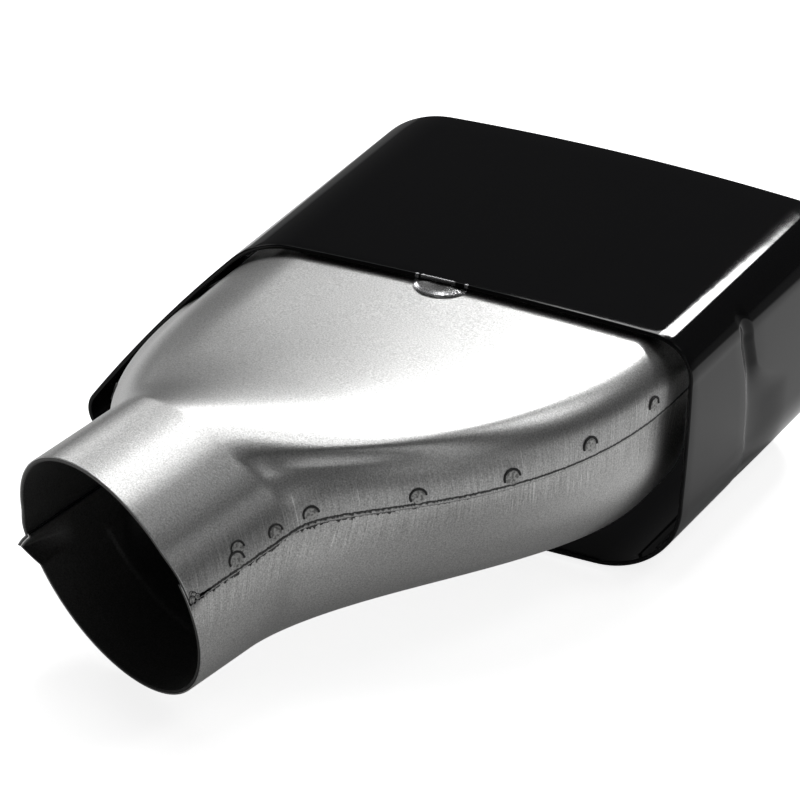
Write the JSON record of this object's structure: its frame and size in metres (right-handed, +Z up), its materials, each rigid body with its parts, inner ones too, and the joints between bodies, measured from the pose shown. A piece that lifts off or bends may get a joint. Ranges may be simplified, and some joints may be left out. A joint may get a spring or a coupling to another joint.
{
  "type": "exhaust tip",
  "caption": "Exhaust tip with a wide black outlet shell of trapezoid section and a bare pressed steel adapter that leads to a round inlet collar.",
  "frame": {"origin": "centre of the inlet collar's mouth", "axes": "+Y the way the gas leaves the outlet, +X across the outlet, +Z up"},
  "size_m": [0.1745, 0.2139, 0.0713],
  "materials": {
    "gloss_black": "gloss black coating on sheet steel",
    "bare_steel": "satin, bead blasted, ground along the seams",
    "tab_steel": "satin"
  },
  "bodies": {
    "root": {"outer_shell": "gloss_black", "adapter_upper_half": "bare_steel", "adapter_lower_half": "bare_steel", "bridge_tab": "tab_steel"}
  },
  "joints": []
}
